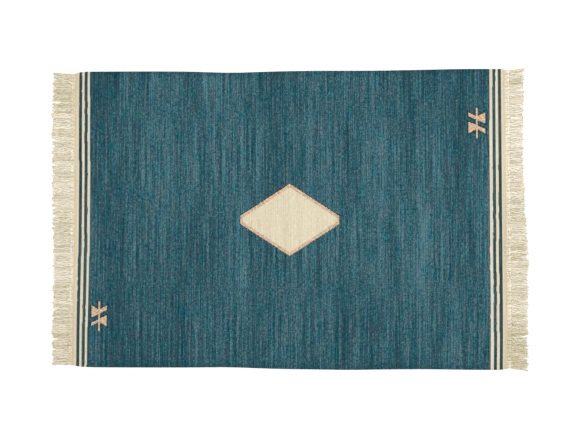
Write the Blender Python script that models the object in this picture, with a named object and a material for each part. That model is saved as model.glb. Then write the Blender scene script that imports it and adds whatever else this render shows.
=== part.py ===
"""A hand-woven wool flatweave rug, lying flat, with its warp ends knotted into a fringe at both ends.

Metres, +Z up. X runs along the warps from fringe to fringe, and Y across them, from selvedge to selvedge.
The origin is the middle of the underside, which rests on the floor.
"""

import math
import random

import bmesh
import bpy

MM = 0.001

CLOTH_THICKNESS = 4.0 * MM
CLOTH_ROUNDING = 1.2 * MM
ROUNDING_RESOLUTION = 1
SIDE_STEPS = 48
END_STEPS = 12

HALF_LENGTH = 973 * MM
HALF_WIDTH = 668 * MM

# How far each selvedge lies outside the even half width, in millimetres, from the left end to the right.
# The knots draw the cloth in at its corners, the far left one the most.
SIDE_COLUMNS = ("along", "far", "near")
SIDES = (
    (-973, -17, -17),
    (-953, -9, -12),
    (-930, -5, -10),
    (-880, -4, -8),
    (-660, -3, -7),
    (-450, -4, -7),
    (-270, -9, -8),
    (-160, -6, -4),
    (-20, -2, 0),
    (125, 0, 2),
    (270, 0, 4),
    (410, 1, 2),
    (625, 5, 1),
    (770, 8, 3),
    (910, 8, 4),
    (950, 8, 3),
    (973, 3, -1),
)

# Where each end of the cloth and the tips of its fringe lie, in millimetres, from the near side to the far.
END_COLUMNS = ("across", "left_end", "right_end", "left_tips", "right_tips")
ENDS = (
    (-670, -983, 976, -1063, 1063),
    (-450, -981, 977, -1062, 1062),
    (-225, -976, 975, -1057, 1064),
    (-110, -974, 974, -1058, 1063),
    (0, -973, 973, -1062, 1055),
    (110, -972, 972, -1063, 1049),
    (225, -971, 971, -1063, 1043),
    (450, -970, 969, -1063, 1042),
    (670, -968, 967, -1058, 1046),
)

KNOT_ROW_WIDTH = 10 * MM
KNOT_ROW_HEIGHT = 4.5 * MM
KNOT_ROW_INSET = 1.5 * MM
PARTING = 0.3 * MM

STRANDS_PER_END = 148
STRAND_WIDTH = 7.2 * MM
STRAND_TOP_SHARE = 0.5
STRAND_HEIGHT = 3.2 * MM
STRAND_ROOT_DEPTH = 4 * MM
STRAND_BEND = 1.5
TIP_LENGTH_SPREAD = 4.5 * MM
TIP_SIDE_SPREAD = 0.7 * MM

# Stations along a strand: share of its length, and its size there against its size at the root.
STRAND_STATIONS = ((0.0, 1.0), (0.4, 0.92), (0.75, 0.8), (1.0, 0.5))

# Long waves that comb whole groups of strands to one side, in millimetres: reach at the tips, wavelength
# and where the wave starts.
SWAYS = {
    "left": ((2.6, 104, 10), (3.4, 263, 70), (1.2, 57, 0)),
    "right": ((2.8, 117, 40), (3.0, 301, 15), (1.3, 61, 20)),
}

# How far the tips at the near and far corner lie outside their roots, in millimetres. Below zero the fringe
# draws together.
CORNER_SPREADS = {"left": (0, 6), "right": (8, 9)}

WELD_DISTANCE = 0.001 * MM
FLOOR_TOLERANCE = 0.01 * MM

TEAL_WOOL = (0.040, 0.110, 0.137, 1.0)
CREAM_WARP = (0.708, 0.638, 0.473, 1.0)
WOOL_ROUGHNESS = 0.9


def read_table(rows, columns, column, position):
    """The value of a column at a position in the first column, on a smooth curve through the rows."""
    at = [row[0] for row in rows]
    values = [row[columns.index(column)] for row in rows]
    position = min(max(position, at[0]), at[-1])
    first = max(i for i in range(len(at) - 1) if at[i] <= position)

    def slope(i):
        before = max(i - 1, 0)
        after = min(i + 1, len(at) - 1)
        return (values[after] - values[before]) / (at[after] - at[before])

    span = at[first + 1] - at[first]
    t = (position - at[first]) / span
    rise = values[first + 1] - values[first]
    bend_in = slope(first) * span - rise
    bend_out = rise - slope(first + 1) * span
    return values[first] + t * rise + t * (1 - t) * ((1 - t) * bend_in + t * bend_out)


def selvedge(side, x):
    """Distance of a selvedge from the middle line, at x."""
    return HALF_WIDTH + read_table(SIDES, SIDE_COLUMNS, side, x / MM) * MM


def end_line(column, y):
    """Place along X of an end of the cloth, or of the tips of its fringe, at y."""
    return read_table(ENDS, END_COLUMNS, column, y / MM) * MM


def steps(first, last, count):
    return [first + (last - first) * i / count for i in range(count + 1)]


def gathered_steps(first, last, count):
    """Places that stand closer together towards both ends, where the corners are drawn in."""
    middle, reach = (first + last) / 2, (last - first) / 2
    return [middle - reach * math.cos(math.pi * i / count) for i in range(count + 1)]


def wool(name, colour):
    material = bpy.data.materials.new(name)
    material.use_nodes = True
    shader = material.node_tree.nodes["Principled BSDF"]
    shader.inputs["Base Color"].default_value = colour
    shader.inputs["Roughness"].default_value = WOOL_ROUGHNESS
    shader.inputs["Metallic"].default_value = 0.0
    return material


def closed_line(curve, points):
    """A closed straight-sided line through the points, added to the curve."""
    spline = curve.splines.new("POLY")
    spline.points.add(len(points) - 1)
    for point, (x, y) in zip(spline.points, points):
        point.co = (x, y, 0, 1)
    spline.use_cyclic_u = True


def as_mesh(name, curve, collection, height=0.0):
    """A mesh object of the curve's solid, raised to the height, with its caps welded on."""
    shape = bpy.data.objects.new(name, curve)
    shape.location.z = height
    collection.objects.link(shape)
    bpy.context.view_layer.update()
    graph = bpy.context.evaluated_depsgraph_get()
    mesh = bpy.data.meshes.new_from_object(shape.evaluated_get(graph))
    mesh.transform(shape.matrix_world)
    bpy.data.objects.remove(shape)
    bpy.data.curves.remove(curve)

    solid = bmesh.new()
    solid.from_mesh(mesh)
    bmesh.ops.remove_doubles(solid, verts=solid.verts, dist=WELD_DISTANCE)
    bmesh.ops.recalc_face_normals(solid, faces=solid.faces)
    solid.to_mesh(mesh)
    solid.free()

    mesh.name = name
    made = bpy.data.objects.new(name, mesh)
    collection.objects.link(made)
    return made


def flat_slab(name, outline, thickness, collection, rounding=0.0):
    """A filled outline, extruded to the thickness, whose underside lies on the floor."""
    curve = bpy.data.curves.new(name, "CURVE")
    curve.dimensions = "2D"
    curve.fill_mode = "BOTH"
    curve.extrude = thickness / 2 - rounding
    curve.bevel_depth = rounding
    curve.bevel_resolution = ROUNDING_RESOLUTION
    curve.offset = -rounding
    closed_line(curve, outline)
    return as_mesh(name, curve, collection, height=thickness / 2)


def cloth_outline():
    """The outline of the cloth, from its near left corner round to the near left corner again."""
    near_left, near_right = -selvedge("near", -HALF_LENGTH), -selvedge("near", HALF_LENGTH)
    far_left, far_right = selvedge("far", -HALF_LENGTH), selvedge("far", HALF_LENGTH)
    near = gathered_steps(end_line("left_end", near_left), end_line("right_end", near_right), SIDE_STEPS)
    right = steps(near_right, far_right, END_STEPS)
    far = gathered_steps(end_line("right_end", far_right), end_line("left_end", far_left), SIDE_STEPS)
    left = steps(far_left, near_left, END_STEPS)
    return (
        [(x, -selvedge("near", x)) for x in near[:-1]]
        + [(end_line("right_end", y), y) for y in right[:-1]]
        + [(x, selvedge("far", x)) for x in far[:-1]]
        + [(end_line("left_end", y), y) for y in left[:-1]]
    )


def make_cloth(collection, material):
    """The woven cloth: a flat slab with the slightly uneven outline of hand weaving and rounded edges."""
    cloth = flat_slab("rug_cloth", cloth_outline(), CLOTH_THICKNESS, collection, CLOTH_ROUNDING)
    cloth.data.materials.append(material)
    return cloth


def knot_row(end, outwards, lowest, highest, collection):
    """The narrow strip of knots that holds the last weft, parted by a hair from the cloth's end."""
    levels = steps(lowest, highest, END_STEPS)
    inner = [(end_line(end + "_end", y) + outwards * PARTING, y) for y in levels]
    outer = [(x + outwards * KNOT_ROW_WIDTH, y) for x, y in inner]
    return flat_slab("fringe_" + end, inner + outer[::-1], KNOT_ROW_HEIGHT, collection)


def strand_section(collection):
    """A strand's cross-section: flat underneath, narrower on top."""
    half = STRAND_WIDTH / 2
    top = half * STRAND_TOP_SHARE
    curve = bpy.data.curves.new("strand_section", "CURVE")
    curve.dimensions = "2D"
    closed_line(curve, ((-half, 0), (half, 0), (top, STRAND_HEIGHT), (-top, STRAND_HEIGHT)))
    section = bpy.data.objects.new("strand_section", curve)
    section.hide_render = True
    section.display_type = "WIRE"
    collection.objects.link(section)
    return section


def combed(end, y):
    """How far the tips around y are combed to one side."""
    return sum(
        reach * MM * math.sin(2 * math.pi * (y / MM - start) / wavelength)
        for reach, wavelength, start in SWAYS[end]
    )


def make_strands(end, outwards, lowest, highest, section, collection, dice):
    """All strands of one end, side by side and apart from each other, each lying level on the floor."""
    curve = bpy.data.curves.new("strands_" + end, "CURVE")
    curve.dimensions = "3D"
    curve.twist_mode = "Z_UP"
    curve.bevel_mode = "OBJECT"
    curve.bevel_object = section
    curve.use_fill_caps = True
    near_spread, far_spread = CORNER_SPREADS[end]
    root_reach = PARTING + KNOT_ROW_WIDTH - STRAND_ROOT_DEPTH
    for i in range(STRANDS_PER_END):
        place = (i + 0.5) / STRANDS_PER_END
        y = lowest + (highest - lowest) * place
        spread = (place**3 * far_spread - (1 - place) ** 3 * near_spread) * MM
        aside = spread + combed(end, y) + dice.uniform(-TIP_SIDE_SPREAD, TIP_SIDE_SPREAD)
        root = end_line(end + "_end", y) + outwards * root_reach
        tip = end_line(end + "_tips", y) - outwards * dice.uniform(0, TIP_LENGTH_SPREAD)
        spline = curve.splines.new("POLY")
        spline.points.add(len(STRAND_STATIONS) - 1)
        for point, (share, size) in zip(spline.points, STRAND_STATIONS):
            point.co = (root + (tip - root) * share, y + aside * share**STRAND_BEND, 0, 1)
            point.radius = size

    strands = as_mesh("strands_" + end, curve, collection)
    for vertex in strands.data.vertices:
        if abs(vertex.co.z) < FLOOR_TOLERANCE:
            vertex.co.z = 0
    strands.hide_render = True
    strands.display_type = "WIRE"
    return strands


def make_fringe(end, outwards, section, parts, guides, material, dice):
    """One end's fringe: the strands, fused at their roots into the row of knots."""
    lowest = KNOT_ROW_INSET - selvedge("near", outwards * HALF_LENGTH)
    highest = selvedge("far", outwards * HALF_LENGTH) - KNOT_ROW_INSET
    fringe = knot_row(end, outwards, lowest, highest, parts)
    union = fringe.modifiers.new("strands", "BOOLEAN")
    union.operation = "UNION"
    union.solver = "EXACT"
    union.object = make_strands(end, outwards, lowest, highest, section, guides, dice)
    fringe.data.materials.append(material)
    return fringe


def main():
    for obj in list(bpy.data.objects):
        bpy.data.objects.remove(obj)

    parts = bpy.data.collections.new("flatweave_rug")
    guides = bpy.data.collections.new("guides")
    for collection in (parts, guides):
        bpy.context.scene.collection.children.link(collection)

    make_cloth(parts, wool("teal_wool", TEAL_WOOL))
    warp = wool("cream_warp", CREAM_WARP)
    section = strand_section(guides)
    dice = random.Random(7)
    for end, outwards in (("left", -1), ("right", 1)):
        make_fringe(end, outwards, section, parts, guides, warp, dice)


main()
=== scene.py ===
"""A hand-woven wool flatweave rug with knotted warp fringes, lying flat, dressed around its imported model.

Metres. X runs along the warps from fringe to fringe, Y across them to the far selvedge, Z up out of the face.
"""

import math
import random

import bpy
import numpy as np
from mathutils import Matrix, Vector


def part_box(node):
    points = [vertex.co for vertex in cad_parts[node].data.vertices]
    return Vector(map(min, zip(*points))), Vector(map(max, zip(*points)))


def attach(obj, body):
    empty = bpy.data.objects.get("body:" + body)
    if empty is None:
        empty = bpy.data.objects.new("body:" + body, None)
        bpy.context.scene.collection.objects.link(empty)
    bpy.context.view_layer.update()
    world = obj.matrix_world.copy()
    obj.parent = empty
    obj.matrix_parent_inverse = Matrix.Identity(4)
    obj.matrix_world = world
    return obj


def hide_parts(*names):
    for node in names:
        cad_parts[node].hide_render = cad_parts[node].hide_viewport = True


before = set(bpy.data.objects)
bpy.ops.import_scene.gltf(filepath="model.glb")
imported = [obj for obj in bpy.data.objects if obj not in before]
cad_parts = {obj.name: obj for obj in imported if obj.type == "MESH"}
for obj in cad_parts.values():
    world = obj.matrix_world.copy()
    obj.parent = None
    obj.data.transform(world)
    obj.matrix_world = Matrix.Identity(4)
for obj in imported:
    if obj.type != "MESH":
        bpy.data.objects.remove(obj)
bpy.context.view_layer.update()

# The woven cloth. Wool wefts are beaten down over pairs of plied warps until the warps are hidden, so both
# faces show fine ribs along X and weft rows across them. Stripes, lozenge and figures are woven in, in dyed
# and undyed wool, and the wefts turn back round the outermost warps, which makes the two selvedges.
MM = 0.001
HALF_LENGTH = 973 * MM
HALF_WIDTH = 668 * MM
RIB_PITCH = 4.5 * MM
RIBS = round(2 * HALF_WIDTH / RIB_PITCH)
ROWS_PER_RIB = 4
COLUMNS = 40
RIB_RELIEF = 0.45 * MM
SELVEDGE_RADIUS = 2.2 * MM
END_TAPER = 3.5 * MM

# The last weft lies this far inside the solid's end: past it the warps show before they are knotted.
WEB_SHORT = 3 * MM
WEB_HALF_LENGTH = HALF_LENGTH - WEB_SHORT

# A weft is about 1.3 mm thick. Its rows are drawn 2 mm apart, because finer ones melt together in the render.
WEFT_ROW = 2.0 * MM

# Dyed wool from deep to pale, the undyed creams, and the rose wool of the outlines and figures.
FIELD_DEEP = "#0c303a"
FIELD_MIDDLE = "#254c56"
FIELD_PALE = "#577d87"
STRIPE_CREAM = "#cfcab5"
STRIPE_PEACH = "#d1c0a3"
LOZENGE_CREAM = "#d0cab2"
LOZENGE_BLUSH = "#cfc1a6"
ROSE_ORANGE = "#d5a678"
ROSE_PINK = "#bda68f"

# Noise that varies the wool, in layers: size across the weft rows and along them in millimetres, and weight.
# The shades go from the speckle and streaks of single wefts to the broad bands of one dye bath after another.
SHADES = (
    (3.2, 6, 0.9),
    (3.2, 13, 0.88),
    (3.2, 110, 0.66),
    (4.5, 22, 0.45),
    (4.5, 400, 1.05),
    (19, 6, 0.38),
    (45, 1500, 0.28),
    (260, 1500, 0.38),
)
SATURATIONS = ((0.3, 60, 0.6), (25, 90, 0.5))
HUES = ((7, 50, 0.1),)
BLUSHES = ((9, 28, 2.2),)
ROSE_HUES = ((40, 30, 2.0), (8, 8, 1.6))
ROSE_SHADES = ((9, 9, 1.3),)

# Each layer reads the noise this far from the one before, and this far from the seed.
LAYER_SHIFTS = (17.3, 5.1)

# The undyed wools are streaked as well, from this brightness to this one.
FAINT_STREAKS = (0.85, 1.15)

# In the dark stripes the shade drops by so much, and by so much more the paler it is. They are duller too.
DEEPER = -0.055
DEEPER_BY_SHADE = -0.15
SATURATION_OF_STRIPES = -0.18

# The wool is darker along the selvedges: partly where the wefts turn back and lie closer, partly painted
# shade of the rounded selvedge.
SHADE_BY_SELVEDGE = -0.13
SELVEDGE_WIDTH = 34 * MM

# The rug is a little paler round this place than along its four sides. The place is given in shares of half
# its length and width.
PALEST_PLACE = (0.0, 0.2)
SHADE_IN_MIDDLE = 0.06
SHADE_BY_ENDS = -0.075
SHADE_BY_SIDES = -0.07

# Where each stripe starts, in millimetres from the end of the cloth, and its wool: red for the dark one, by
# how deep it is dyed, green for the cream one and blue for the cream web. Past the last row the field begins.
WOOLS = {
    "web": (0, 0, 1, 1),
    "deep": (1.7, 0, 0, 1),
    "dark": (1, 0, 0, 1),
    "faded": (0.4, 0, 0, 1),
    "cream": (0, 1, 0, 1),
    "field": (0, 0, 0, 1),
}
STRIPES = {
    "left": ((0, "web"), (25.2, "deep"), (38.9, "cream"), (50.0, "faded"), (63.9, "cream"), (74.6, "field")),
    "right": ((0, "web"), (23.3, "deep"), (38.0, "cream"), (49.8, "dark"), (63.9, "cream"), (77.1, "field")),
}
WEB_COLOURS = ((0, "#c6beac"), (9, "#c5bba4"), (13, "#cdbc9f"), (20, "#d0bfa2"), (23, "#d0c7ac"))
STRIPE_REACH = 100 * MM

# Wefts are never beaten in quite level, and the stripes narrow towards the selvedges: how wide they are in
# the middle, what each step to the far selvedge adds, and what its square adds. They also stray a little.
STRIPE_WIDTHS = {"left": (1.018, 0.011, -0.057), "right": (1.011, -0.017, -0.034)}
STRAYS = ((1000, 260, 3.0), (1000, 50, 2.4))

LOZENGE_CENTRE = (-1.8 * MM, 0.9 * MM)
LOZENGE_HALF_LENGTH = 220.5 * MM
LOZENGE_HALF_HEIGHT = 162 * MM
LOZENGE_TIP_HALF_HEIGHT = 19 * MM
LOZENGE_BORDER_ALONG = 12 * MM
LOZENGE_BORDER_ACROSS = 16.5 * MM

# Each corner figure is a staff through two spread bows, with a slanting gap between them.
FIGURES = (
    dict(along=839.5 * MM, across=429 * MM, half_width=38.4 * MM, gap_slope=0.43, gap_middle=1 * MM),
    dict(along=-849 * MM, across=-435 * MM, half_width=34.4 * MM, gap_slope=-0.51, gap_middle=-3 * MM),
)
STAFF_HALF_WIDTH = 4.4 * MM
STAFF_HALF_HEIGHT = 68 * MM
BOW_WAIST = 26.4 * MM
BOW_FLARE = 21 * MM
GAP_HALF_HEIGHT = 12 * MM

# Where two wools meet, slits stand open beside the warps. The shadow in them is painted as a line of dark
# points about this wide along the lozenge's sides, and a wider one round the figures.
SLIT_WIDTH = 4.2 * MM
SLIT_WIDTH_OF_FIGURES = 6 * MM
SLIT_SHADOW = "#081a22"
SLIT_SHADOW_DEPTHS = ((6, 6, 3.8),)

WOOL_FUZZ = 1.5 * MM
RELIEF_HEIGHT = 0.4 * MM


def linear(colour):
    """A hex sRGB colour as the linear colour that Blender's sockets take."""
    parts = [int(colour[i : i + 2], 16) / 255 for i in (1, 3, 5)]
    return [c / 12.92 if c <= 0.04045 else ((c + 0.055) / 1.055) ** 2.4 for c in parts] + [1.0]


def add(tree, kind, inputs=None, **settings):
    """Adds a node. An input is a value, a socket, or a node whose first output is linked."""
    node = tree.nodes.new(kind)
    for name, value in settings.items():
        setattr(node, name, value)
    for name, value in (inputs or {}).items():
        if isinstance(value, bpy.types.Node):
            value = value.outputs[0]
        if isinstance(value, bpy.types.NodeSocket):
            tree.links.new(value, node.inputs[name])
        else:
            node.inputs[name].default_value = value
    return node


def new_tree(name, inputs):
    """A Geometry Nodes tree with these named inputs and one geometry output, and its Group Input node."""
    tree = bpy.data.node_groups.new(name, "GeometryNodeTree")
    for label, kind in inputs.items():
        tree.interface.new_socket(label, in_out="INPUT", socket_type="NodeSocket" + kind)
    tree.interface.new_socket("Geometry", in_out="OUTPUT", socket_type="NodeSocketGeometry")
    return tree, tree.nodes.new("NodeGroupInput").outputs


def placed(name, data):
    """A new object of this data, in the scene."""
    made = bpy.data.objects.new(name, data)
    bpy.context.scene.collection.objects.link(made)
    return made


def made_by(tree, name, values, body="root"):
    """A plain mesh object of what the tree makes from these values, riding on the body."""
    carrier = placed(name + "_carrier", bpy.data.meshes.new(name + "_carrier"))
    modifier = carrier.modifiers.new("nodes", "NODES")
    modifier.node_group = tree
    for item in tree.interface.items_tree:
        if item.in_out == "INPUT":
            modifier[item.identifier] = values[item.name]
    bpy.context.view_layer.update()
    graph = bpy.context.evaluated_depsgraph_get()
    mesh = bpy.data.meshes.new_from_object(carrier.evaluated_get(graph))
    bpy.data.objects.remove(carrier)
    mesh.name = name
    piece = placed(name, mesh)
    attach(piece, body)
    return piece


def guide(name, paths, end_size=1.0):
    """Straight-sided splines for a tree to read, from pairs of a path and its tilt, with this end radius."""
    curve = bpy.data.curves.new(name, "CURVE")
    curve.dimensions = "3D"
    curve.twist_mode = "Z_UP"
    for path, tilt in paths:
        spline = curve.splines.new("POLY")
        spline.points.add(len(path) - 1)
        for point, place in zip(spline.points, path):
            point.co = (*place, 1)
            point.radius = 1.0
            point.tilt = tilt
        spline.points[-1].radius = end_size
    return placed(name, curve)


def cloth_sides(node):
    """The sides of the solid cloth's outline: ends from near to far, selvedges from left to right."""
    lowest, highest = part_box(node.name)
    middle = (lowest.z + highest.z) / 2
    reach = (highest.z - lowest.z) / 4
    rim = {tuple(round(c, 6) for c in v.co.xy) for v in node.data.vertices if abs(v.co.z - middle) < reach}
    ring = sorted(rim, key=lambda place: math.atan2(place[1], place[0]))
    corners = [max(ring, key=lambda p: x * p[0] + y * p[1]) for x, y in ((-1, -1), (1, -1), (1, 1), (-1, 1))]
    first = ring.index(corners[0])
    ring = ring[first:] + ring[: first + 1]
    cuts = [ring.index(corner) for corner in corners] + [len(ring) - 1]
    near, right, far, left = (ring[a : b + 1] for a, b in zip(cuts, cuts[1:]))
    return {"left": left[::-1], "right": right, "near": near, "far": far[::-1]}


def layered_noise(tree, place, layers, start, seed):
    """A starting value with layers of noise added to it, each swinging evenly up and down."""
    total = start
    for number, (wide, long, weight) in enumerate(layers):
        scale = (1 / (wide * MM), 1 / (long * MM), 1)
        shift = (seed + LAYER_SHIFTS[0] * number, seed + LAYER_SHIFTS[1], 0)
        scaled = add(tree, "ShaderNodeVectorMath", {0: place, 1: scale, 2: shift}, operation="MULTIPLY_ADD")
        noise = add(
            tree, "ShaderNodeTexNoise", {"Vector": scaled, "Scale": 1.0, "Detail": 1.0}, noise_dimensions="2D"
        )
        centred = add(tree, "ShaderNodeMath", {0: noise, 1: 0.5}, operation="SUBTRACT")
        total = add(tree, "ShaderNodeMath", {0: centred, 1: weight, 2: total}, operation="MULTIPLY_ADD")
    return total


def stripe_wools(tree, yarn_place, woven_along, woven_across):
    """Masks of the dark stripes, the cream stripes and the webs, and the web's own colour."""
    across = add(tree, "ShaderNodeMath", {0: woven_across, 1: HALF_WIDTH}, operation="DIVIDE")
    ramps, shares = [], []
    for end, outwards, seed in (("left", -1, 53.0), ("right", 1, 62.0)):
        in_middle, by_far, by_square = STRIPE_WIDTHS[end]
        slanted = add(tree, "ShaderNodeMath", {0: across, 1: by_square, 2: by_far}, operation="MULTIPLY_ADD")
        wide = add(tree, "ShaderNodeMath", {0: across, 1: slanted, 2: in_middle}, operation="MULTIPLY_ADD")
        inwards = add(
            tree, "ShaderNodeMath", {0: woven_along, 1: -outwards, 2: HALF_LENGTH}, operation="MULTIPLY_ADD"
        )
        stray = layered_noise(tree, yarn_place, STRAYS, start=0.0, seed=seed)
        narrowed = add(tree, "ShaderNodeMath", {0: inwards, 1: wide}, operation="DIVIDE")
        strayed = add(tree, "ShaderNodeMath", {0: stray, 1: MM, 2: narrowed}, operation="MULTIPLY_ADD")
        share = add(tree, "ShaderNodeMath", {0: strayed, 1: STRIPE_REACH}, operation="DIVIDE")
        ramp = add(tree, "ShaderNodeValToRGB", {0: share})
        ramp.color_ramp.interpolation = "CONSTANT"
        stops = ramp.color_ramp.elements
        while len(stops) < len(STRIPES[end]):
            stops.new(1.0)
        for stop, (start, wool) in zip(stops, STRIPES[end]):
            stop.position = start * MM / STRIPE_REACH
            stop.color = WOOLS[wool]
        ramps.append(ramp)
        shares.append(share)
    both = add(tree, "ShaderNodeVectorMath", {0: ramps[0], 1: ramps[1]}, operation="ADD")
    dark, cream, webs = add(tree, "ShaderNodeSeparateXYZ", {0: both}).outputs
    nearest = add(tree, "ShaderNodeMath", {0: shares[0], 1: shares[1]}, operation="MINIMUM")
    web = add(tree, "ShaderNodeValToRGB", {0: nearest})
    stops = web.color_ramp.elements
    while len(stops) < len(WEB_COLOURS):
        stops.new(1.0)
    for stop, (start, colour) in zip(stops, WEB_COLOURS):
        stop.position = start * MM / STRIPE_REACH
        stop.color = linear(colour)
    return dark, cream, webs, web


def lozenge_masks(tree, woven_along, woven_across):
    """Masks of the lozenge's whole shape, of its fill within the border, and of the slits along its sides,
    where shadow is painted.
    """
    far = []
    for woven, centre in zip((woven_along, woven_across), LOZENGE_CENTRE):
        off = add(tree, "ShaderNodeMath", {0: woven, 1: centre}, operation="SUBTRACT")
        far.append(add(tree, "ShaderNodeMath", {0: off}, operation="ABSOLUTE"))
    fall = (LOZENGE_TIP_HALF_HEIGHT - LOZENGE_HALF_HEIGHT) / LOZENGE_HALF_LENGTH
    side = add(tree, "ShaderNodeMath", {0: far[0], 1: fall, 2: LOZENGE_HALF_HEIGHT}, operation="MULTIPLY_ADD")
    inside = add(tree, "ShaderNodeMath", {0: side, 1: far[1]}, operation="SUBTRACT")
    insets = ((0.0, 0.0), (LOZENGE_BORDER_ACROSS, LOZENGE_BORDER_ALONG), (-SLIT_WIDTH, 0.0))
    masks = []
    for least_inside, tip_inset in insets:
        in_sides = add(tree, "ShaderNodeMath", {0: inside, 1: least_inside}, operation="GREATER_THAN")
        tip = LOZENGE_HALF_LENGTH - tip_inset
        in_tips = add(tree, "ShaderNodeMath", {0: far[0], 1: tip}, operation="LESS_THAN")
        masks.append(add(tree, "ShaderNodeMath", {0: in_sides, 1: in_tips}, operation="MULTIPLY"))
    return masks


def figure_mask(tree, woven_along, woven_across, figure, margin):
    """The mask of one corner figure, grown by a margin on every side."""
    half_width = figure["half_width"]
    x = add(tree, "ShaderNodeMath", {0: woven_along, 1: figure["along"]}, operation="SUBTRACT")
    y = add(tree, "ShaderNodeMath", {0: woven_across, 1: figure["across"]}, operation="SUBTRACT")
    wide = add(tree, "ShaderNodeMath", {0: x}, operation="ABSOLUTE")
    high = add(tree, "ShaderNodeMath", {0: y}, operation="ABSOLUTE")
    slope, waist = BOW_FLARE / half_width, BOW_WAIST + margin
    flare = add(tree, "ShaderNodeMath", {0: wide, 1: slope, 2: waist}, operation="MULTIPLY_ADD")
    in_bow = add(tree, "ShaderNodeMath", {0: high, 1: flare}, operation="LESS_THAN")
    in_width = add(tree, "ShaderNodeMath", {0: wide, 1: half_width + margin}, operation="LESS_THAN")
    slant = add(tree, "ShaderNodeMath", {0: x, 1: figure["gap_slope"], 2: y}, operation="MULTIPLY_ADD")
    off_gap = add(tree, "ShaderNodeMath", {0: slant, 1: figure["gap_middle"]}, operation="SUBTRACT")
    from_gap = add(tree, "ShaderNodeMath", {0: off_gap}, operation="ABSOLUTE")
    gap = GAP_HALF_HEIGHT - margin
    past_gap = add(tree, "ShaderNodeMath", {0: from_gap, 1: gap}, operation="GREATER_THAN")
    bow = add(tree, "ShaderNodeMath", {0: in_bow, 1: in_width}, operation="MULTIPLY")
    bows = add(tree, "ShaderNodeMath", {0: bow, 1: past_gap}, operation="MULTIPLY")
    on_staff = add(tree, "ShaderNodeMath", {0: wide, 1: STAFF_HALF_WIDTH + margin}, operation="LESS_THAN")
    reach = STAFF_HALF_HEIGHT + margin / 2
    by_staff = add(tree, "ShaderNodeMath", {0: high, 1: reach}, operation="LESS_THAN")
    staff = add(tree, "ShaderNodeMath", {0: on_staff, 1: by_staff}, operation="MULTIPLY")
    return add(tree, "ShaderNodeMath", {0: bows, 1: staff}, operation="MAXIMUM")


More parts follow.
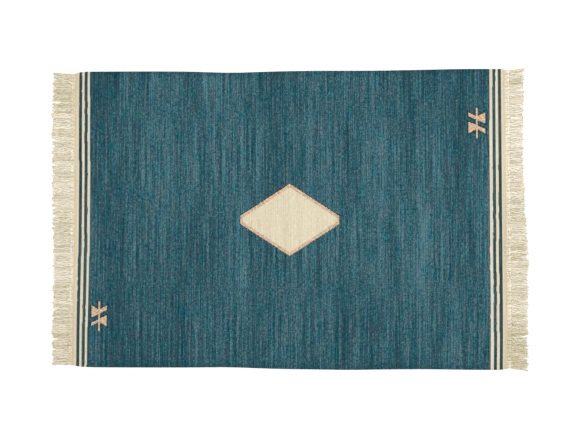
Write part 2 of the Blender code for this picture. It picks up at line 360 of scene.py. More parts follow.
def weft_faced_wool():
    """Weft-faced wool weave: matt, streaked along the wefts where hand-dyed shades meet, finely ribbed."""
    material = bpy.data.materials.new("weft_faced_wool_weave")
    material.use_nodes = True
    tree = material.node_tree
    shader = tree.nodes["Principled BSDF"]
    weave = add(tree, "ShaderNodeAttribute", attribute_name="weave").outputs["Vector"]
    place = add(tree, "ShaderNodeSeparateXYZ", {0: weave})
    along, across = place.outputs[0], place.outputs[1]

    # Each weft shows on every second rib, so the rows of neighbouring ribs are half a row apart, and their
    # mean is a quarter on. A pattern is built up from whole rows on whole ribs, so its slopes are stepped.
    rib = add(tree, "ShaderNodeMath", {0: across, 1: RIB_PITCH}, operation="DIVIDE")
    rib_number = add(tree, "ShaderNodeMath", {0: rib}, operation="FLOOR")
    odd = add(tree, "ShaderNodeMath", {0: rib_number, 1: 2.0}, operation="FLOORED_MODULO")
    row = add(tree, "ShaderNodeMath", {0: along, 1: WEFT_ROW}, operation="DIVIDE")
    shifted = add(tree, "ShaderNodeMath", {0: odd, 1: 0.5, 2: row}, operation="MULTIPLY_ADD")
    row_number = add(tree, "ShaderNodeMath", {0: shifted}, operation="FLOOR")
    row_mean = add(tree, "ShaderNodeMath", {0: row_number, 1: 0.25}, operation="ADD")
    woven_along = add(tree, "ShaderNodeMath", {0: row_mean, 1: WEFT_ROW}, operation="MULTIPLY")
    rib_middle = add(tree, "ShaderNodeMath", {0: rib_number, 1: 0.5}, operation="ADD")
    woven_across = add(tree, "ShaderNodeMath", {0: rib_middle, 1: RIB_PITCH}, operation="MULTIPLY")
    yarn_place = add(tree, "ShaderNodeCombineXYZ", {0: woven_along, 1: across})

    # Masks: which wool lies where, where slits open and their shadow is painted, and how near the selvedges,
    # ends and sides are.
    dark, cream, webs, web = stripe_wools(tree, yarn_place, woven_along, woven_across)
    lozenge, fill, slits = lozenge_masks(tree, woven_along, woven_across)
    rose_mask = add(tree, "ShaderNodeMath", {0: lozenge, 1: fill}, operation="SUBTRACT")
    for figure in FIGURES:
        drawn = figure_mask(tree, woven_along, woven_across, figure, 0.0)
        outlined = figure_mask(tree, woven_along, woven_across, figure, SLIT_WIDTH_OF_FIGURES)
        rose_mask = add(tree, "ShaderNodeMath", {0: rose_mask, 1: drawn}, operation="MAXIMUM")
        slits = add(tree, "ShaderNodeMath", {0: slits, 1: outlined}, operation="MAXIMUM")
    far = add(tree, "ShaderNodeMath", {0: across}, operation="ABSOLUTE")
    towards_edges = [add(tree, "ShaderNodeMapRange", {0: far, 1: HALF_WIDTH - SELVEDGE_WIDTH, 2: HALF_WIDTH})]
    for way, half_size, palest in zip((along, across), (HALF_LENGTH, HALF_WIDTH), PALEST_PLACE):
        part = add(tree, "ShaderNodeMath", {0: way, 1: 1 / half_size, 2: -palest}, operation="MULTIPLY_ADD")
        towards_edges.append(add(tree, "ShaderNodeMath", {0: part, 1: part}, operation="MULTIPLY"))

    # The dyed wool. All shades add up to one value, which picks the colour.
    shade = layered_noise(tree, yarn_place, SHADES, start=0.5, seed=3.7)
    local_shade = add(tree, "ShaderNodeMath", {0: shade, 1: SHADE_IN_MIDDLE})
    for part, change in zip(towards_edges, (SHADE_BY_SELVEDGE, SHADE_BY_ENDS, SHADE_BY_SIDES)):
        local_shade = add(tree, "ShaderNodeMath", {0: part, 1: change, 2: local_shade}, operation="MULTIPLY_ADD")
    deeper = add(tree, "ShaderNodeMath", {0: local_shade, 1: DEEPER_BY_SHADE, 2: DEEPER}, operation="MULTIPLY_ADD")
    dyed_shade = add(tree, "ShaderNodeMath", {0: dark, 1: deeper, 2: local_shade}, operation="MULTIPLY_ADD")
    dyed = add(tree, "ShaderNodeValToRGB", {0: dyed_shade})
    stops = dyed.color_ramp.elements
    stops.new(0.5)
    for stop, colour in zip(stops, (FIELD_DEEP, FIELD_MIDDLE, FIELD_PALE)):
        stop.color = linear(colour)
    vivid = layered_noise(tree, yarn_place, SATURATIONS, start=1.0, seed=71.0)
    on_stripe = add(tree, "ShaderNodeMath", {0: dark, 1: 0.0}, operation="GREATER_THAN")
    saturation = add(
        tree, "ShaderNodeMath", {0: on_stripe, 1: SATURATION_OF_STRIPES, 2: vivid}, operation="MULTIPLY_ADD"
    )
    hue = layered_noise(tree, yarn_place, HUES, start=0.5, seed=29.0)
    dyed = add(tree, "ShaderNodeHueSaturation", {"Hue": hue, "Saturation": saturation, "Color": dyed})
    figure_place = add(tree, "ShaderNodeCombineXYZ", {0: woven_along, 1: woven_across})
    # Painted shadow: inside the slits' mask the colour goes towards the dark slit shadow, in uneven points.
    shadow_depth = layered_noise(tree, figure_place, SLIT_SHADOW_DEPTHS, start=0.7, seed=63.0)
    painted_slit_shadow = add(tree, "ShaderNodeMath", {0: shadow_depth, 1: slits}, operation="MULTIPLY", use_clamp=True)
    colour = add(
        tree, "ShaderNodeMix", {0: painted_slit_shadow, 6: dyed, 7: linear(SLIT_SHADOW)}, data_type="RGBA"
    ).outputs[2]

    # The undyed wools, each faintly streaked.
    darkest, brightest = FAINT_STREAKS
    faint = add(tree, "ShaderNodeMapRange", {0: local_shade, 1: 0.0, 2: 1.0, 3: darkest, 4: brightest})
    blush = layered_noise(tree, yarn_place, BLUSHES, start=0.12, seed=87.0)
    warm = add(tree, "ShaderNodeMath", {0: blush}, operation="ADD", use_clamp=True)
    undyed = []
    for pale, peach in ((STRIPE_CREAM, STRIPE_PEACH), (LOZENGE_CREAM, LOZENGE_BLUSH)):
        tones = {0: warm, 6: linear(pale), 7: linear(peach)}
        undyed.append(add(tree, "ShaderNodeMix", tones, data_type="RGBA").outputs[2])
    for mask, wool in ((cream, undyed[0]), (webs, web), (fill, undyed[1])):
        streaked = add(
            tree, "ShaderNodeMix", {0: 1.0, 6: wool, 7: faint}, data_type="RGBA", blend_type="MULTIPLY"
        )
        laid = add(tree, "ShaderNodeMix", {0: mask, 6: colour, 7: streaked.outputs[2]}, data_type="RGBA")
        colour = laid.outputs[2]

    # The rose wool changes from orange to pink and from pale to deep every few rows.
    rose_hue = layered_noise(tree, figure_place, ROSE_HUES, start=0.5, seed=5.0)
    pinkness = add(tree, "ShaderNodeMath", {0: rose_hue}, operation="ADD", use_clamp=True)
    tones = {0: pinkness, 6: linear(ROSE_ORANGE), 7: linear(ROSE_PINK)}
    rose = add(tree, "ShaderNodeMix", tones, data_type="RGBA")
    paleness = layered_noise(tree, figure_place, ROSE_SHADES, start=1.0, seed=37.0)
    paled = {0: 1.0, 6: rose.outputs[2], 7: paleness}
    rose = add(tree, "ShaderNodeMix", paled, data_type="RGBA", blend_type="MULTIPLY")
    laid = add(tree, "ShaderNodeMix", {0: rose_mask, 6: colour, 7: rose.outputs[2]}, data_type="RGBA")
    tree.links.new(laid.outputs[2], shader.inputs["Base Color"])

    # Relief of the wefts: each row is round across, and the wool is fuzzy.
    in_row = add(tree, "ShaderNodeMath", {0: shifted}, operation="FRACT")
    round_row = add(tree, "ShaderNodeMath", {0: in_row, 1: 0.5, 2: 0.5}, operation="PINGPONG")
    fuzz_size = {"Vector": weave, "Scale": 1 / WOOL_FUZZ, "Detail": 2.0}
    fuzz = add(tree, "ShaderNodeTexNoise", fuzz_size, noise_dimensions="2D")
    relief = add(tree, "ShaderNodeMath", {0: fuzz, 1: 0.5, 2: round_row}, operation="MULTIPLY_ADD")
    bump = add(tree, "ShaderNodeBump", {"Height": relief, "Strength": 0.6, "Distance": RELIEF_HEIGHT})
    tree.links.new(bump.outputs[0], shader.inputs["Normal"])
    shader.inputs["Roughness"].default_value = 0.92
    shader.inputs["Specular IOR Level"].default_value = 0.1
    shader.inputs["Sheen Weight"].default_value = 0.03
    shader.inputs["Sheen Roughness"].default_value = 0.6
    return material


def ribbed_cloth():
    """A tree that stretches a ribbed, closed sheet between four guides."""
    tree, given = new_tree(
        "ribbed_cloth",
        {
            "Left End": "Object",
            "Right End": "Object",
            "Near Selvedge": "Object",
            "Far Selvedge": "Object",
            "Ribs": "Int",
            "Rows per Rib": "Int",
            "Columns": "Int",
            "Thickness": "Float",
            "Rib Relief": "Float",
            "Selvedge Radius": "Float",
            "End Taper": "Float",
            "Half Length": "Float",
            "Half Width": "Float",
            "Wool": "Material",
        },
    )
    rows = add(tree, "ShaderNodeMath", {0: given["Ribs"], 1: given["Rows per Rib"]}, operation="MULTIPLY")
    row_points = add(tree, "ShaderNodeMath", {0: rows, 1: 1.0}, operation="ADD")
    column_points = add(tree, "ShaderNodeMath", {0: given["Columns"], 1: 1.0}, operation="ADD")
    grid = add(
        tree,
        "GeometryNodeMeshGrid",
        {"Size X": 1.0, "Size Y": 1.0, "Vertices X": column_points, "Vertices Y": row_points},
    )
    place = add(tree, "ShaderNodeSeparateXYZ", {0: add(tree, "GeometryNodeInputPosition")})

    # The columns stand closer together towards the ends, where the cloth thins out.
    swing = add(tree, "ShaderNodeMath", {0: place.outputs[0], 1: math.pi}, operation="MULTIPLY")
    gathered = add(tree, "ShaderNodeMath", {0: swing}, operation="SINE")
    along = add(tree, "ShaderNodeMath", {0: gathered, 1: 0.5, 2: 0.5}, operation="MULTIPLY_ADD")
    across = add(tree, "ShaderNodeMath", {0: place.outputs[1], 1: 0.5}, operation="ADD")

    ends = []
    for name, share, axis in (
        ("Left End", across, 0),
        ("Right End", across, 0),
        ("Near Selvedge", along, 1),
        ("Far Selvedge", along, 1),
    ):
        info = add(tree, "GeometryNodeObjectInfo", {"Object": given[name]})
        smooth = add(
            tree, "GeometryNodeCurveSplineType", {0: info.outputs["Geometry"]}, spline_type="CATMULL_ROM"
        )
        sample = add(tree, "GeometryNodeSampleCurve", {"Curves": smooth, "Factor": share}, mode="FACTOR")
        ends.append(add(tree, "ShaderNodeSeparateXYZ", {0: sample.outputs["Position"]}).outputs[axis])
    x = add(tree, "ShaderNodeMix", {0: along, 2: ends[0], 3: ends[1]}, data_type="FLOAT")
    y = add(tree, "ShaderNodeMix", {0: across, 2: ends[2], 3: ends[3]}, data_type="FLOAT")

    # Half the thickness: ribbed, and rounded off at the selvedges and the ends.
    turn = add(tree, "ShaderNodeMath", {0: given["Ribs"], 1: 2 * math.pi}, operation="MULTIPLY")
    phase = add(tree, "ShaderNodeMath", {0: turn, 1: across}, operation="MULTIPLY")
    wave = add(tree, "ShaderNodeMath", {0: phase}, operation="COSINE")
    valley = add(tree, "ShaderNodeMath", {0: wave, 1: 0.5, 2: 0.5}, operation="MULTIPLY_ADD")
    drop = add(tree, "ShaderNodeMath", {0: valley, 1: given["Rib Relief"]}, operation="MULTIPLY")
    half = add(tree, "ShaderNodeMath", {0: given["Thickness"], 1: 0.5}, operation="MULTIPLY")
    height = add(tree, "ShaderNodeMath", {0: half, 1: drop}, operation="SUBTRACT")
    for share, size, radius in (
        (across, given["Half Width"], given["Selvedge Radius"]),
        (along, given["Half Length"], given["End Taper"]),
    ):
        rest = add(tree, "ShaderNodeMath", {0: share, 1: 0.5, 2: 0.5}, operation="PINGPONG")
        to_edge = add(tree, "ShaderNodeMath", {0: rest, 1: size}, operation="MULTIPLY")
        double = add(tree, "ShaderNodeMath", {0: to_edge, 1: 2.0}, operation="MULTIPLY")
        reach = add(tree, "ShaderNodeMath", {0: double, 1: radius}, operation="DIVIDE")
        inner = add(tree, "ShaderNodeMath", {0: 1.0, 1: reach}, operation="SUBTRACT", use_clamp=True)
        square = add(tree, "ShaderNodeMath", {0: inner, 1: inner}, operation="MULTIPLY")
        left_over = add(tree, "ShaderNodeMath", {0: 1.0, 1: square}, operation="SUBTRACT")
        roundness = add(tree, "ShaderNodeMath", {0: left_over}, operation="SQRT")
        height = add(tree, "ShaderNodeMath", {0: height, 1: roundness}, operation="MULTIPLY")

    # The place in the weave, before the cloth is drawn out of square, is kept, and the map with it.
    signed_along = add(tree, "ShaderNodeMath", {0: gathered, 1: given["Half Length"]}, operation="MULTIPLY")
    width = add(tree, "ShaderNodeMath", {0: given["Half Width"], 1: 2.0}, operation="MULTIPLY")
    signed_across = add(tree, "ShaderNodeMath", {0: place.outputs[1], 1: width}, operation="MULTIPLY")
    woven = add(tree, "ShaderNodeCombineXYZ", {0: signed_along, 1: signed_across})
    flat = add(tree, "ShaderNodeCombineXYZ", {0: along, 1: across})
    mapped = grid
    for name, value, data_type, domain in (
        ("weave", woven, "FLOAT_VECTOR", "POINT"),
        ("OFBake", flat, "FLOAT2", "CORNER"),
    ):
        kept = {"Geometry": mapped, "Name": name, "Value": value}
        mapped = add(tree, "GeometryNodeStoreNamedAttribute", kept, data_type=data_type, domain=domain)
    faces = []
    for way in ("ADD", "SUBTRACT"):
        level = add(tree, "ShaderNodeMath", {0: half, 1: height}, operation=way)
        spot = add(tree, "ShaderNodeCombineXYZ", {0: x, 1: y, 2: level})
        faces.append(add(tree, "GeometryNodeSetPosition", {"Geometry": mapped, "Position": spot}))
    under = add(tree, "GeometryNodeFlipFaces", {0: faces[1]})
    joined = add(tree, "GeometryNodeJoinGeometry")
    tree.links.new(under.outputs[0], joined.inputs[0])
    tree.links.new(faces[0].outputs[0], joined.inputs[0])
    closed = add(tree, "GeometryNodeMergeByDistance", {"Geometry": joined, "Distance": 0.01 * MM})
    smooth = add(tree, "GeometryNodeSetShadeSmooth", {0: closed})
    realized = add(tree, "GeometryNodeRealizeInstances", {0: smooth})
    wool = add(tree, "GeometryNodeSetMaterial", {"Geometry": realized, "Material": given["Wool"]})
    add(tree, "NodeGroupOutput", {0: wool})
    return tree


sides = cloth_sides(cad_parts["rug_cloth"])
inwards = {"left": WEB_SHORT, "right": -WEB_SHORT, "near": 0, "far": 0}
guides = {
    side: guide("guide_" + side, [([(x + inwards[side], y, 0) for x, y in places], 0.0)])
    for side, places in sides.items()
}
cloth_lowest, cloth_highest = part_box("rug_cloth")
cloth = made_by(
    ribbed_cloth(),
    "woven_cloth",
    {
        "Left End": guides["left"],
        "Right End": guides["right"],
        "Near Selvedge": guides["near"],
        "Far Selvedge": guides["far"],
        "Ribs": RIBS,
        "Rows per Rib": ROWS_PER_RIB,
        "Columns": COLUMNS,
        "Thickness": cloth_highest.z - cloth_lowest.z,
        "Rib Relief": RIB_RELIEF,
        "Selvedge Radius": SELVEDGE_RADIUS,
        "End Taper": END_TAPER,
        "Half Length": WEB_HALF_LENGTH,
        "Half Width": HALF_WIDTH,
        "Wool": weft_faced_wool(),
    },
)
for made in guides.values():
    bpy.data.objects.remove(made)
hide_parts("rug_cloth")

# The fringe at each end: the warps that the cloth was woven on. Eight at a time are gathered and tied in an
# overhand knot, which keeps the last weft in place. Past the knot they come partly untwisted into more yarns,
# in two loose layers: single yarns on the floor, and wavy locks of two or three yarns that cross above them.
KNOTS = 74
WARPS_PER_KNOT = 8
END_INSET = 1.5 * MM
ROOT_INSET = WEB_SHORT + 3 * MM
ROOT_HEIGHT = 2 * MM
BUNDLE_HALF_WIDTH = 5.2 * MM
FAN_LENGTH = 14 * MM
YARN_SIDES = 6
YARN_LOBES = 0.22
YARN_LAY = 22 * MM
YARN_TURN = 2.4
LOCK_LAY = 42 * MM
TIP_SIZE = 0.5

# What differs from end to end: the way out along X, how far out the knots are tied, and how much paler the
# warps are at which share of the way from the near corner to the far one.
ENDS = {
    "left": {
        "outwards": -1,
        "seed": 11,
        "knots_out": 5.2 * MM,
        "paler": ((0, -0.1), (0.2, 0), (0.4, 0), (0.6, 0.05), (0.8, 0.05), (1, -0.15)),
    },
    "right": {
        "outwards": 1,
        "seed": 23,
        "knots_out": 8.6 * MM,
        "paler": (
            (0, -0.05), (0.083, -0.5), (0.167, -0.06), (0.35, -0.03), (0.6, 0.23), (0.78, 0.27), (1, 0.05)
        ),
    },
}

# The tint also drifts a little from knot to knot, by this much in all, and keeps this share at each step.
DRIFT = 0.05
DRIFT_KEPT = 0.8
YARN_TINT_STRAY = 0.15
WRAP_TINT_STRAY = 0.1

# How far knots, the yarns in a bundle and the tips stray from even spacing.
KNOT_STRAY = 0.8 * MM
BUNDLE_STRAY = 0.6 * MM
TIP_STRAY = 1.6 * MM

# The layers of free yarns. Locks are how many yarns lie in each lock across one knot, freed how far from the
# knot they part, reach how far their waves swing, twist the radius that they turn around, short how far their
# tips fall short, and tint how pale they are. The under yarns' lower tint is painted shade from the locks
# above.
LAYERS = {
    "under_yarns": {
        "locks": (1, 1, 1, 1, 1, 1),
        "radius": 1.8 * MM,
        "height": 2.2 * MM,
        "lift": 0.0,
        "freed": (-12 * MM, -6 * MM),
        "reach": (0.4 * MM, 1.4 * MM),
        "twist": 0.2 * MM,
        "short": 6 * MM,
        "stations": 15,
        # Darker than the locks: painted shade under them.
        "tint": (0.05, 0.55),
    },
    "locks": {
        "locks": (3, 2, 3),
        "radius": 1.3 * MM,
        "height": 3.8 * MM,
        "lift": 1.6 * MM,
        "freed": (0.0, FAN_LENGTH),
        "reach": (0.6 * MM, 2.8 * MM),
        "twist": 1.35 * MM,
        "short": 6 * MM,
        "stations": 18,
        "tint": (0.25, 1.05),
    },
}
WAVELENGTHS = (26 * MM, 70 * MM)

# Stations by the knot: where a warp leaves the web, and how far before and past the knot's middle it bends.
# It is gathered with the others a little before the knot, and the bundle is this deep.
WEB_LEFT = 2 * MM - WEB_SHORT
KNOT_ENTRY = 3.5 * MM
KNOT_EXIT = 2.5 * MM
GATHERED_BEFORE = 3 * MM
BUNDLE_DEPTH = 0.8 * MM

# Towards the tips a lock opens out and sinks to the floor, each by this share. It is flat rather than round.
TIP_FLARE = 0.8
TIP_DROOP = 0.7
LOCK_FLATNESS = 0.4

# The tips reach a little past the solid's, each yarn on its own. They cling together in loose clumps, this
# far apart and of uneven length.
TIPS_PAST = 5 * MM
TIP_SPREAD = 3.5 * MM
CLUMP_PULL = 0.12
CLUMP_PITCHES = (20 * MM, 52 * MM)
CLUMP_SHORTS = (-1 * MM, 2 * MM)

# A knot shows as three yarns side by side, wrapped round the bundle. Sizes and tilts vary from knot to knot,
# most lean the same way, each yarn starts a little after the last, and their ends are tucked in.
WRAP_YARNS = 3
WRAP_RADIUS = 1.35 * MM
WRAP_GAP = 2.3 * MM
WRAP_TURNS = 1.3
WRAP_HALF_WIDTH = 7.7 * MM
WRAP_HALF_HEIGHT = 2.3 * MM
WRAP_STATIONS = 19
WRAP_TINT = (0.42, 0.86)
WRAP_SIZES = (0.93, 1.08)
WRAP_TILTS = (0.05, 0.35)
WRAP_LEANS = (1, 1, 1, -1)
WRAP_LAG = 0.35
WRAP_END_SIZE = 0.4
WRAP_ENDS_PER_YARN = 6

# How many yarns lie side by side and above each other on each piece's own map.
MAP_CELLS = {"under_yarns": (24, 19), "locks": (32, 19), "knots": (15, 15)}
CELL_MARGIN = 0.12
CELL_WIDTH = 0.7
CELL_HEIGHT = 0.8

# Cloudy tints along each yarn, and pink patches across many.
CLOUD_SIZE = (14 * MM, 4 * MM, 4 * MM)
CLOUD_SWING = 1.3
PINK_PATCH = 40 * MM
PINK_MOST = 0.45
YARN_FUZZ = 0.9 * MM
FUZZ_HEIGHT = 0.2 * MM
YARN_DEEP = "#cabc93"
YARN_PALE = "#fdf8e8"
YARN_PINK = "#f0ded0"


def plied_warp():
    """Plied undyed warp yarn: matt and creamy, each end a little different, darker where the plies meet."""
    material = bpy.data.materials.new("plied_undyed_warp_yarn")
    material.use_nodes = True
    tree = material.node_tree
    shader = tree.nodes["Principled BSDF"]
    tint = add(tree, "ShaderNodeAttribute", attribute_name="tint").outputs["Fac"]
    place = add(tree, "ShaderNodeTexCoord").outputs["Object"]
    per_metre = [1 / size for size in CLOUD_SIZE]
    lengthwise = add(tree, "ShaderNodeVectorMath", {0: place, 1: per_metre}, operation="MULTIPLY")
    cloudy = add(tree, "ShaderNodeTexNoise", {"Vector": lengthwise, "Scale": 1.0, "Detail": 2.0})
    mixed = add(
        tree, "ShaderNodeMath", {0: cloudy, 1: CLOUD_SWING, 2: -CLOUD_SWING / 2}, operation="MULTIPLY_ADD"
    )
    share = add(tree, "ShaderNodeMath", {0: tint, 1: mixed}, operation="ADD", use_clamp=True)
    tones = {0: share, 6: linear(YARN_DEEP), 7: linear(YARN_PALE)}
    cream = add(tree, "ShaderNodeMix", tones, data_type="RGBA").outputs[2]
    patchy = add(tree, "ShaderNodeTexNoise", {"Vector": place, "Scale": 1 / PINK_PATCH, "Detail": 1.0})
    pink_share = add(tree, "ShaderNodeMapRange", {0: patchy, 1: 0.5, 2: 0.75, 3: 0.0, 4: PINK_MOST})
    yarn = add(tree, "ShaderNodeMix", {0: pink_share, 6: cream, 7: linear(YARN_PINK)}, data_type="RGBA")
    tree.links.new(yarn.outputs[2], shader.inputs["Base Color"])
    fuzz = add(tree, "ShaderNodeTexNoise", {"Vector": place, "Scale": 1 / YARN_FUZZ, "Detail": 2.0})
    bump = add(tree, "ShaderNodeBump", {"Height": fuzz, "Strength": 0.4, "Distance": FUZZ_HEIGHT})
    tree.links.new(bump.outputs[0], shader.inputs["Normal"])
    shader.inputs["Roughness"].default_value = 0.9
    shader.inputs["Specular IOR Level"].default_value = 0.2
    return material


def plied_yarns():
    """A tree that spins plied yarn along every spline of a guide, and lays it out on a map, a cell a yarn.

    The guide's tilt says how pale each yarn is, and goes into an attribute before the yarn's own twist.
    """
    tree, given = new_tree(
        "plied_yarns",
        {
            "Paths": "Object",
            "Radius": "Float",
            "Sides": "Int",
            "Lobes": "Float",
            "Lay": "Float",
            "Cells Across": "Int",
            "Cells Up": "Int",
            "Yarn": "Material",
        },
    )
    paths = add(tree, "GeometryNodeObjectInfo", {"Object": given["Paths"]}).outputs["Geometry"]
    along = add(tree, "GeometryNodeSplineParameter")
    turn = add(tree, "ShaderNodeMath", {0: 2 * math.pi, 1: given["Lay"]}, operation="DIVIDE")
    number = add(tree, "GeometryNodeInputIndex")
    which = add(tree, "GeometryNodeFieldOnDomain", {0: number}, domain="CURVE", data_type="FLOAT")
    start = add(tree, "ShaderNodeMath", {0: which, 1: YARN_TURN}, operation="MULTIPLY")
    twist = add(
        tree, "ShaderNodeMath", {0: along.outputs["Length"], 1: turn, 2: start}, operation="MULTIPLY_ADD"
    )
    kept = {"Geometry": paths, "Name": "tint", "Value": add(tree, "GeometryNodeInputCurveTilt")}
    tinted = add(tree, "GeometryNodeStoreNamedAttribute", kept, data_type="FLOAT", domain="POINT")
    numbered = add(tree, "GeometryNodeSetCurveTilt", {"Curve": tinted, "Tilt": twist})
    for name, value in (("yarn_share", along.outputs["Factor"]), ("yarn_number", which)):
        kept = {"Geometry": numbered, "Name": name, "Value": value}
        numbered = add(tree, "GeometryNodeStoreNamedAttribute", kept, data_type="FLOAT", domain="POINT")

    circle = add(
        tree, "GeometryNodeCurvePrimitiveCircle", {"Resolution": given["Sides"], "Radius": given["Radius"]}
    )
    place = add(tree, "GeometryNodeInputPosition")
    spot = add(tree, "ShaderNodeSeparateXYZ", {0: place})
    angle = add(tree, "ShaderNodeMath", {0: spot.outputs[1], 1: spot.outputs[0]}, operation="ARCTAN2")
    twice = add(tree, "ShaderNodeMath", {0: angle, 1: 2.0}, operation="MULTIPLY")
    lobe = add(tree, "ShaderNodeMath", {0: twice}, operation="COSINE")
    swell = add(tree, "ShaderNodeMath", {0: lobe, 1: given["Lobes"], 2: 1.0}, operation="MULTIPLY_ADD")
    pressed = add(tree, "ShaderNodeVectorMath", {0: place, "Scale": swell}, operation="SCALE")
    section = add(tree, "GeometryNodeSetPosition", {"Geometry": circle, "Position": pressed})
    round_share = add(tree, "GeometryNodeSplineParameter")
    halves = add(tree, "ShaderNodeMath", {0: round_share.outputs["Factor"], 1: 0.5}, operation="PINGPONG")
    kept = {"Geometry": section, "Name": "round_share", "Value": halves}
    sectioned = add(tree, "GeometryNodeStoreNamedAttribute", kept, data_type="FLOAT", domain="POINT")
    thickness = add(tree, "GeometryNodeInputRadius")
    spun = add(
        tree,
        "GeometryNodeCurveToMesh",
        {"Curve": numbered, "Profile Curve": sectioned, "Scale": thickness, "Fill Caps": True},
    )

    # The map: each yarn has its own cell, and keeps a margin inside it.
    number_again = add(tree, "GeometryNodeInputNamedAttribute", {"Name": "yarn_number"}, data_type="FLOAT")
    cell = add(tree, "ShaderNodeMath", {0: number_again, 1: 0.25}, operation="ADD")
    cell_across = add(tree, "ShaderNodeMath", {0: cell, 1: given["Cells Across"]}, operation="FLOORED_MODULO")
    column = add(tree, "ShaderNodeMath", {0: cell_across}, operation="FLOOR")
    rows_up = add(tree, "ShaderNodeMath", {0: cell, 1: given["Cells Across"]}, operation="DIVIDE")
    level = add(tree, "ShaderNodeMath", {0: rows_up}, operation="FLOOR")
    shares = []
    for name, base, cells, scale in (
        ("round_share", column, "Cells Across", 2 * CELL_WIDTH),
        ("yarn_share", level, "Cells Up", CELL_HEIGHT),
    ):
        share = add(tree, "GeometryNodeInputNamedAttribute", {"Name": name}, data_type="FLOAT")
        inner = add(tree, "ShaderNodeMath", {0: share, 1: scale, 2: CELL_MARGIN}, operation="MULTIPLY_ADD")
        total = add(tree, "ShaderNodeMath", {0: base, 1: inner}, operation="ADD")
        shares.append(add(tree, "ShaderNodeMath", {0: total, 1: given[cells]}, operation="DIVIDE"))
    spot_on_map = add(tree, "ShaderNodeCombineXYZ", {0: shares[0], 1: shares[1]})
    kept = {"Geometry": spun, "Name": "OFBake", "Value": spot_on_map}
    mapped = add(tree, "GeometryNodeStoreNamedAttribute", kept, data_type="FLOAT2", domain="CORNER")
    smooth = add(tree, "GeometryNodeSetShadeSmooth", {0: mapped})
    realized = add(tree, "GeometryNodeRealizeInstances", {0: smooth})
    yarn = add(tree, "GeometryNodeSetMaterial", {"Geometry": realized, "Material": given["Yarn"]})
    add(tree, "NodeGroupOutput", {0: yarn})
    return tree


def strand_tips(node, outwards):
    """The end faces of the solid fringe's strands, from near to far: arrays of their X and their Y."""
    lowest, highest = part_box(node.name)
    outer = (lowest.x + highest.x) / 2
    caps = [
        face.center.copy()
        for face in node.data.polygons
        if face.normal.x * outwards > 0.9 and (face.center.x - outer) * outwards > 0
    ]
    caps.sort(key=lambda place: place.y)
    return np.array([c.x for c in caps]), np.array([c.y for c in caps])


def smooth_step(value, start, end):
    share = min(max((value - start) / (end - start), 0.0), 1.0)
    return share * share * (3 - 2 * share)


def between(start, end, share):
    return start + (end - start) * share


def clumps_of(end, dice):
    """Where the tips gather: the Y of each clump from near to far, and how far it falls short."""
    margin = CLUMP_PITCHES[0]
    place = sides[end][0][1] - margin
    clumps = []
    while place < sides[end][-1][1] + margin:
        clumps.append((place, dice.uniform(*CLUMP_SHORTS)))
        place += dice.uniform(*CLUMP_PITCHES)
    return clumps


def knots_of(end, dice):
    """Each knot of one end: its share of the way to the far corner, its Y, how far out it is, its tint."""
    edge_y = [y for x, y in sides[end]]
    first, last = edge_y[0] + END_INSET, edge_y[-1] - END_INSET
    places, paler = zip(*ENDS[end]["paler"])
    drifted = 0.0
    knots = []
    for number in range(KNOTS):
        share = (number + 0.5) / KNOTS
        y = between(first, last, share) + dice.uniform(-KNOT_STRAY, KNOT_STRAY)
        drifted = DRIFT_KEPT * drifted + (1 - DRIFT_KEPT**2) ** 0.5 * dice.gauss(0, DRIFT)
        tint = drifted + float(np.interp(share, places, paler))
        out = ENDS[end]["knots_out"] + dice.uniform(-KNOT_STRAY, KNOT_STRAY)
        knots.append((share, y, out, tint))
    return knots, (last - first) / KNOTS


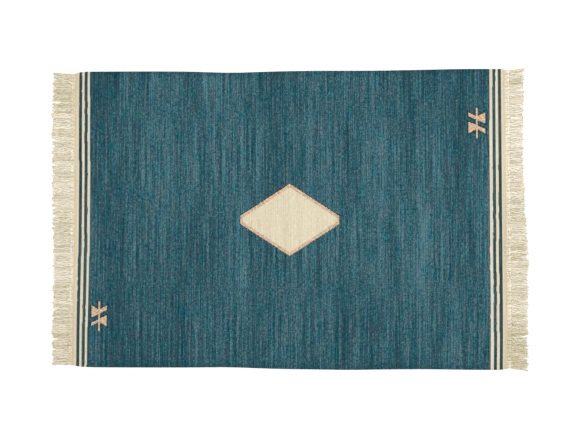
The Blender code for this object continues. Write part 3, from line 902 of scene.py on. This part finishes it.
def free_yarns(end, layer, knots, pitch, clumps, dice):
    """Path and tint of one layer's yarns. They start in the cloth and run on through the knot."""
    sizes = LAYERS[layer]
    outwards = ENDS[end]["outwards"]
    locks, radius, stations = sizes["locks"], sizes["radius"], sizes["stations"]
    edge_x, edge_y = zip(*sides[end])
    tip_x, tip_y = strand_tips(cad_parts["fringe_" + end], outwards)
    tip_shares = (np.arange(len(tip_x)) + 0.5) / len(tip_x)
    knot_height = WRAP_RADIUS + WRAP_HALF_HEIGHT
    least_height = radius * (1 + YARN_LOBES)
    root_height = max(ROOT_HEIGHT, least_height)
    yarns = []
    for share, knot_y, knot_out, knot_tint in knots:
        edge = float(np.interp(knot_y, edge_y, edge_x))
        warp = 0
        for number, in_lock in enumerate(locks):
            fan = (number + 0.5) / len(locks) - 0.5
            lock_share = share + fan / KNOTS
            lock_tip_x = float(np.interp(lock_share, tip_shares, tip_x))
            lock_tip_y = float(np.interp(lock_share, tip_shares, tip_y)) + dice.uniform(-TIP_STRAY, TIP_STRAY)
            clump_y, clump_short = min(clumps, key=lambda clump: abs(clump[0] - lock_tip_y))
            lock_tip_y = between(lock_tip_y, clump_y, CLUMP_PULL)
            lock_short = clump_short + sizes["short"] * dice.random() - TIPS_PAST
            reach = dice.uniform(*sizes["reach"])
            wavelength = dice.uniform(*WAVELENGTHS)
            phase = dice.uniform(0, 2 * math.pi)
            height = sizes["height"] + sizes["lift"] * dice.random()
            lay_phase = dice.uniform(0, 2 * math.pi)
            lock_tint = knot_tint + dice.uniform(*sizes["tint"])
            for place_in_lock in range(in_lock):
                root_y = knot_y + ((warp + 0.5) / WARPS_PER_KNOT - 0.5) * pitch
                bundle_y = knot_y + 2 * fan * BUNDLE_HALF_WIDTH + dice.uniform(-BUNDLE_STRAY, BUNDLE_STRAY)
                warp += 1
                tip_out = (lock_tip_x - edge) * outwards - lock_short - dice.gauss(0, TIP_SPREAD)
                turn = lay_phase + 2 * math.pi * place_in_lock / in_lock
                outs = [-ROOT_INSET, WEB_LEFT, knot_out - KNOT_ENTRY, knot_out]
                outs += [between(knot_out + KNOT_EXIT, tip_out, i / stations) for i in range(stations + 1)]
                path = []
                for out in outs:
                    gathered = smooth_step(out, -WEB_SHORT, knot_out - GATHERED_BEFORE)
                    freed = smooth_step(out - knot_out, *sizes["freed"])
                    far = max((out - knot_out) / (tip_out - knot_out), 0.0)
                    angle = turn + 2 * math.pi * out / LOCK_LAY
                    wave = reach * math.sin(2 * math.pi * out / wavelength + phase)
                    spread = sizes["twist"] * (1 + TIP_FLARE * far**3)
                    straight_y = between(knot_y + fan * pitch, lock_tip_y, far**1.2)
                    free_y = straight_y + wave + spread * math.cos(angle)
                    lowered = between(height, least_height, TIP_DROOP * far**4)
                    free_z = max(lowered + LOCK_FLATNESS * spread * math.sin(angle), least_height)
                    held_y = between(root_y, bundle_y, gathered)
                    held_z = between(root_height, knot_height + BUNDLE_DEPTH * math.sin(turn), gathered)
                    edge_here = np.interp(held_y, edge_y, edge_x)
                    x = between(edge_here, edge, freed) + outwards * out
                    path.append((x, between(held_y, free_y, freed), between(held_z, free_z, freed)))
                yarns.append((path, lock_tint + dice.uniform(-YARN_TINT_STRAY, YARN_TINT_STRAY)))
    return yarns


def knot_wraps(end, knots, dice):
    """Path and tint of the yarns wrapped round each knot: tilted, flat coils with their ends tucked in."""
    outwards = ENDS[end]["outwards"]
    edge_x, edge_y = zip(*sides[end])
    yarns = []
    for share, knot_y, knot_out, knot_tint in knots:
        edge = float(np.interp(knot_y, edge_y, edge_x))
        size = dice.uniform(*WRAP_SIZES)
        tilt = dice.uniform(*WRAP_TILTS) * dice.choice(WRAP_LEANS)
        start = dice.uniform(0, 2 * math.pi)
        wrap_tint = knot_tint + dice.uniform(*WRAP_TINT)
        for yarn in range(WRAP_YARNS):
            path = []
            for i in range(WRAP_STATIONS + 1):
                along = i / WRAP_STATIONS
                angle = start + WRAP_LAG * yarn + 2 * math.pi * WRAP_TURNS * along
                tuck = between(WRAP_END_SIZE, 1.0, min(1.0, WRAP_ENDS_PER_YARN * min(along, 1 - along)))
                y = WRAP_HALF_WIDTH * size * tuck * math.cos(angle)
                z = WRAP_RADIUS * (1 + YARN_LOBES) + WRAP_HALF_HEIGHT * (1 + tuck * math.sin(angle))
                advance = (along - 0.5) * WRAP_TURNS * WRAP_GAP
                x = advance + (yarn - (WRAP_YARNS - 1) / 2) * WRAP_GAP + tilt * y
                path.append((edge + outwards * (knot_out + x), knot_y + y, z))
            yarns.append((path, wrap_tint + dice.uniform(-WRAP_TINT_STRAY, WRAP_TINT_STRAY)))
    return yarns


warp_yarn = plied_warp()
yarn_tree = plied_yarns()
for end in ENDS:
    dice = random.Random(ENDS[end]["seed"])
    knots, pitch = knots_of(end, dice)
    clumps = clumps_of(end, dice)
    kinds = [("knots", knot_wraps(end, knots, dice), WRAP_RADIUS, 1.0)]
    for layer, sizes in LAYERS.items():
        yarns = free_yarns(end, layer, knots, pitch, clumps, dice)
        kinds.append((layer, yarns, sizes["radius"], TIP_SIZE))
    for kind, yarns, radius, tip_size in kinds:
        name = "fringe_" + kind + "_" + end
        bundle = guide(name + "_paths", yarns, tip_size)
        piece = made_by(
            yarn_tree,
            name,
            {
                "Paths": bundle,
                "Radius": radius,
                "Sides": YARN_SIDES,
                "Lobes": YARN_LOBES,
                "Lay": YARN_LAY,
                "Cells Across": MAP_CELLS[kind][0],
                "Cells Up": MAP_CELLS[kind][1],
                "Yarn": warp_yarn,
            },
        )
        bpy.data.objects.remove(bundle)
        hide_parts("fringe_" + end)

# The stage: a plain white floor under soft studio light, with the camera straight above the rug.
FLOOR_SIZE = 60.0
FLOOR_WHITE = 0.985
CAMERA_HEIGHT = 6.174
CAMERA_PLACE = (8.5 * MM, 4.0 * MM)
LAMP_PLACE = (1.4, 2.6, 6.3)
LAMP_SIZE = 4.0
LAMP_POWER = 155.0
SKY_STRENGTH = 0.97

floor_mesh = bpy.data.meshes.new("floor")
half = FLOOR_SIZE / 2
corners = [(-half, -half, 0), (half, -half, 0), (half, half, 0), (-half, half, 0)]
floor_mesh.from_pydata(corners, [], [(0, 1, 2, 3)])
floor = placed("floor", floor_mesh)
paint = bpy.data.materials.new("white_matt_floor")
paint.use_nodes = True
paint_shader = paint.node_tree.nodes["Principled BSDF"]
paint_shader.inputs["Base Color"].default_value = (FLOOR_WHITE, FLOOR_WHITE, FLOOR_WHITE, 1)
paint_shader.inputs["Roughness"].default_value = 1.0
paint_shader.inputs["Specular IOR Level"].default_value = 0.0
floor_mesh.materials.append(paint)

world = bpy.data.worlds.new("soft_white_room")
world.use_nodes = True
world.node_tree.nodes["Background"].inputs["Color"].default_value = (1, 1, 1, 1)
world.node_tree.nodes["Background"].inputs["Strength"].default_value = SKY_STRENGTH
bpy.context.scene.world = world

lamp_data = bpy.data.lights.new("soft_box", "AREA")
lamp_data.shape = "SQUARE"
lamp_data.size = LAMP_SIZE
lamp_data.energy = LAMP_POWER
lamp = placed("soft_box", lamp_data)
lamp.location = LAMP_PLACE
lamp.rotation_euler = (-lamp.location).to_track_quat("-Z", "Y").to_euler()

camera_data = bpy.data.cameras.new("camera")
camera_data.lens = 85
camera_data.sensor_width = 36
camera = placed("camera", camera_data)
camera.location = (*CAMERA_PLACE, CAMERA_HEIGHT + cloth_highest.z)
bpy.context.scene.camera = camera
bpy.context.scene.view_settings.view_transform = "Standard"
